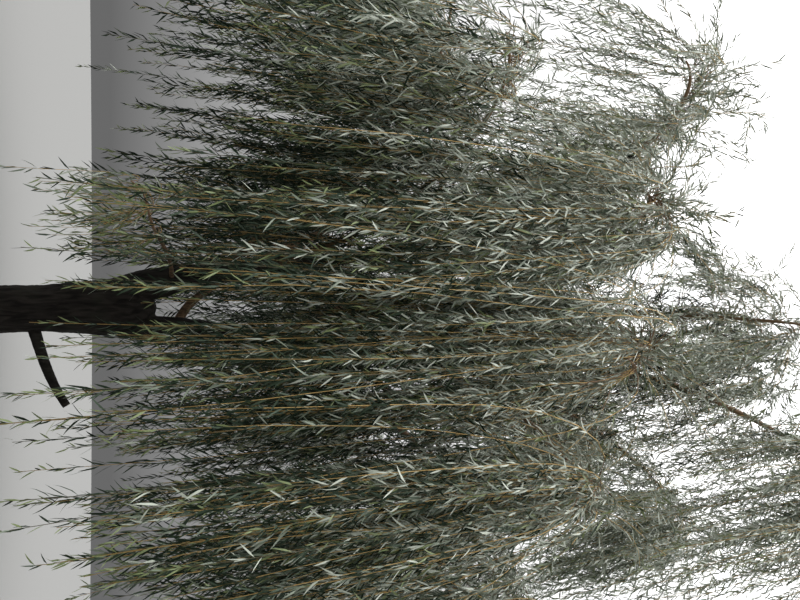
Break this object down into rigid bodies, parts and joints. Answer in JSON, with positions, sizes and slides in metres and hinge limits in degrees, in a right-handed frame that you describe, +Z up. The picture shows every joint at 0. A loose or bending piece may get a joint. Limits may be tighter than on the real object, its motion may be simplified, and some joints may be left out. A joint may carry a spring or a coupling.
{
  "type": "weeping willow tree",
  "caption": "Weeping willow with a short forked trunk, arching boughs and long hanging curtains of narrow leaves, rooted in level ground.",
  "frame": {"origin": "centre of the flat cut under the trunk, at ground level", "axes": "+Z up the trunk, -Y towards the side that the picture shows, +X to the right seen from there"},
  "size_m": [8.4345, 7.4311, 11.0829],
  "materials": {
    "bark": "rough, ridged grey-brown bark",
    "foliage": "narrow leaves, dull grey-green above and silvery below, on yellow-brown twigs",
    "young_foliage": "sparse yellow-green leaves on bare yellow-brown twigs"
  },
  "bodies": {
    "root": {"trunk": "bark", "limb_left": "bark", "leader": "bark", "cut_stub": "bark", "bough_upper_back_left": "bark", "bough_upper_front": "bark", "bough_upper_right_front": "bark", "bough_upper_right": "bark", "bough_upper_back_right": "bark", "bough_upper_back": "bark", "bough_upper_left": "bark", "bough_lower_left_front": "bark", "bough_lower_front_left": "bark", "bough_lower_front": "bark", "bough_lower_front_right": "bark", "bough_lower_right_front": "bark", "bough_lower_right": "bark", "bough_lower_back_right": "bark", "bough_lower_back": "bark", "bough_lower_back_left": "bark", "bough_lower_left_back": "bark", "bough_lower_left": "bark", "bough_drooping": "bark", "foliage_upper_back_left": "foliage", "foliage_upper_front": "foliage", "foliage_upper_right_front": "foliage", "foliage_upper_right": "foliage", "foliage_upper_back_right": "foliage", "foliage_upper_back": "foliage", "foliage_upper_left": "foliage", "foliage_lower_left_front": "foliage", "foliage_lower_front_left": "foliage", "foliage_lower_front": "foliage", "foliage_lower_front_right": "foliage", "foliage_lower_right_front": "foliage", "foliage_lower_right": "foliage", "foliage_lower_back_right": "foliage", "foliage_lower_back": "foliage", "foliage_lower_back_left": "foliage", "foliage_lower_left_back": "foliage", "foliage_lower_left": "foliage", "foliage_drooping": "young_foliage", "foliage_upper_left_front": "foliage", "foliage_top": "foliage"}
  },
  "joints": []
}
